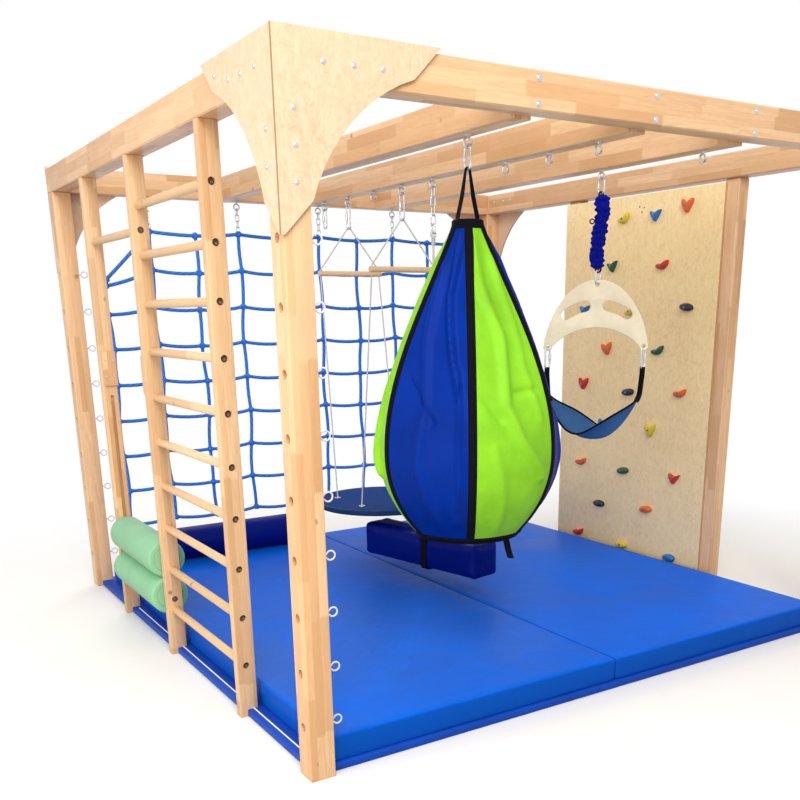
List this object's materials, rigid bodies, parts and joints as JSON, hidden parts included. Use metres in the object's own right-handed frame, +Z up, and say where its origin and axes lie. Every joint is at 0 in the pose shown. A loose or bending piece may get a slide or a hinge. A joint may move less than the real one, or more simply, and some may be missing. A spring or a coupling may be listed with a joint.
{
  "type": "sensory play frame",
  "caption": "Wooden cube play frame with wall bars, a climbing wall, squeeze rollers, a rope net, blue floor mats, a hanging pod, a bow swing, a platform swing and a hanging block.",
  "frame": {"origin": "on the floor, at the middle of the wooden frame", "axes": "+Z up, +X along the front from the wall bars to the climbing wall, +Y to the back, towards the rope net"},
  "size_m": [3.0648, 3.0646, 2.352],
  "materials": {
    "pine": "smooth finger-jointed pine, clear satin varnish",
    "birch": "birch plywood, clear satin varnish",
    "blue_vinyl": "bright blue vinyl over foam, softly glossy",
    "navy_vinyl": "navy blue vinyl and cloth",
    "slate_vinyl": "slate blue padded cover",
    "mint_foam": "mint green closed-cell foam, matt",
    "pod_fabric": "royal blue and lime stretch cloth with black binding",
    "sling_fabric": "blue woven sling with black binding",
    "net_rope": "mid blue twisted rope",
    "white_rope": "white braided rope",
    "cream_board": "cream painted board",
    "zinc": "zinc plated steel"
  },
  "bodies": {
    "frame": {"base_mat": "blue_vinyl", "beam_back": "pine", "beam_front": "pine", "beam_left": "pine", "beam_right": "pine", "bolster": "navy_vinyl", "climbing_wall": "birch", "corner_plate_back_left": "birch", "corner_plate_back_right": "birch", "corner_plate_front_left": "birch", "corner_plate_front_right": "birch", "joist_left": "pine", "joist_middle": "pine", "joist_right": "pine", "mat_left": "blue_vinyl", "mat_right": "blue_vinyl", "post_back_left": "pine", "post_back_right": "pine", "post_front_left": "pine", "post_front_right": "pine", "roller_axle_lower": "zinc", "roller_rail_back": "pine", "roller_rail_front": "pine", "rung_01": "pine", "rung_02": "pine", "rung_03": "pine", "rung_04": "pine", "rung_05": "pine", "rung_06": "pine", "rung_07": "pine", "rung_08": "pine", "rung_09": "pine", "rung_10": "pine", "rung_high": "pine", "wall_bar_upright_back": "pine", "wall_bar_upright_front": "pine", "wall_bar_upright_middle": "pine", "wall_post_back": "pine", "wall_post_front": "pine"},
    "net": {"rope_net": "net_rope"},
    "pod_hanger": {"pod_carabiner": "zinc"},
    "pod": {"pod": "pod_fabric"},
    "bow_hanger": {"bow_carabiner_top": "zinc"},
    "bungee": {"bow_bungee": "navy_vinyl"},
    "bow": {"bow_carabiner_low": "zinc", "bow": "cream_board"},
    "sling": {"sling_seat": "sling_fabric"},
    "platform_hangers": {"platform_carabiner_front": "zinc", "platform_carabiner_back": "zinc"},
    "platform_front": {"platform_rope_front": "white_rope", "spreader_bar_front": "pine"},
    "platform_back": {"platform_rope_back": "white_rope", "spreader_bar_back": "pine"},
    "board": {"platform_board": "slate_vinyl"},
    "block_chain": {"block_chain": "zinc"},
    "block_rope": {"block_rope": "white_rope"},
    "block": {"hanging_block": "navy_vinyl"},
    "lower_roller": {"roller_lower": "mint_foam"},
    "upper_axle": {"roller_axle_upper": "zinc"},
    "upper_roller": {"roller_upper": "mint_foam"}
  },
  "joints": [
    {"name": "net_swing", "type": "hinge", "parent": "frame", "child": "net", "pos_m": [0, 1.4725, 2.171], "axis": [1, 0, 0], "range_deg": [-6, 6]},
    {"name": "pod_swing_front_back", "type": "hinge", "parent": "frame", "child": "pod_hanger", "pos_m": [-0.548, -1.108, 2.159], "axis": [1, 0, 0], "range_deg": [-12, 10]},
    {"name": "pod_swing_sideways", "type": "hinge", "parent": "pod_hanger", "child": "pod", "pos_m": [-0.548, -1.108, 2.0838], "axis": [0, 1, 0], "range_deg": [-10, 10]},
    {"name": "bow_swing_front_back", "type": "hinge", "parent": "frame", "child": "bow_hanger", "pos_m": [0.548, -0.65, 2.159], "axis": [1, 0, 0], "range_deg": [-12, 12]},
    {"name": "bow_swing_sideways", "type": "hinge", "parent": "bow_hanger", "child": "bungee", "pos_m": [0.548, -0.65, 2.0988], "axis": [0, 1, 0], "range_deg": [-12, 12]},
    {"name": "bungee_stretch", "type": "slide", "parent": "bungee", "child": "bow", "axis": [0, 0, 1], "range_m": [-0.25, 0], "stiffness_N_per_m": 500, "springref_m": 0.15, "deforming": ["bow_bungee"]},
    {"name": "sling_tilt", "type": "hinge", "parent": "bow", "child": "sling", "pos_m": [0.548, -0.65, 1.37852], "axis": [0.7373, -0.6756, 0], "range_deg": [-18, 18]},
    {"name": "platform_sideways", "type": "hinge", "parent": "frame", "child": "platform_hangers", "pos_m": [0, 0.2685, 2.1688], "axis": [0, 1, 0], "range_deg": [-8, 8]},
    {"name": "platform_swing", "type": "hinge", "parent": "platform_hangers", "child": "platform_front", "pos_m": [0, 0.2685, 2.0338], "axis": [1, 0, 0], "range_deg": [-3.5, 5]},
    {"name": "platform_back_rope", "type": "hinge", "parent": "platform_hangers", "child": "platform_back", "pos_m": [0, 0.8635, 2.0338], "axis": [1, 0, 0], "range_deg": [-3.6, 5.1]},
    {"name": "platform_board_tilt", "type": "hinge", "parent": "platform_front", "child": "board", "pos_m": [0, 0.416, 0.46537], "axis": [1, 0, 0], "range_deg": [-10.2, 7.2]},
    {"name": "block_swing_front_back", "type": "hinge", "parent": "frame", "child": "block_chain", "pos_m": [0, -0.029, 2.159], "axis": [1, 0, 0], "range_deg": [-8, 3]},
    {"name": "block_swing_sideways", "type": "hinge", "parent": "block_chain", "child": "block_rope", "pos_m": [0, -0.029, 1.9483], "axis": [0, 1, 0], "range_deg": [-8, 8]},
    {"name": "block_spin", "type": "hinge", "parent": "block_rope", "child": "block", "pos_m": [0, -0.029, 0.4163], "axis": [0, 0, 1], "range_deg": [-90, 90]},
    {"name": "lower_roller_spin", "type": "hinge", "parent": "frame", "child": "lower_roller", "pos_m": [-1.4625, 0.4215, 0.275], "axis": [0, 1, 0], "continuous": true},
    {"name": "squeeze_lift", "type": "slide", "parent": "frame", "child": "upper_axle", "axis": [0, 0, 1], "range_m": [0, 0.12]},
    {"name": "upper_roller_spin", "type": "hinge", "parent": "upper_axle", "child": "upper_roller", "pos_m": [-1.4625, 0.4215, 0.457], "axis": [0, 1, 0], "continuous": true}
  ],
  "couplings": [
    {"joint": "platform_back_rope", "follows": "platform_swing", "ratio": 1},
    {"joint": "platform_board_tilt", "follows": "platform_swing", "ratio": -1.98}
  ]
}
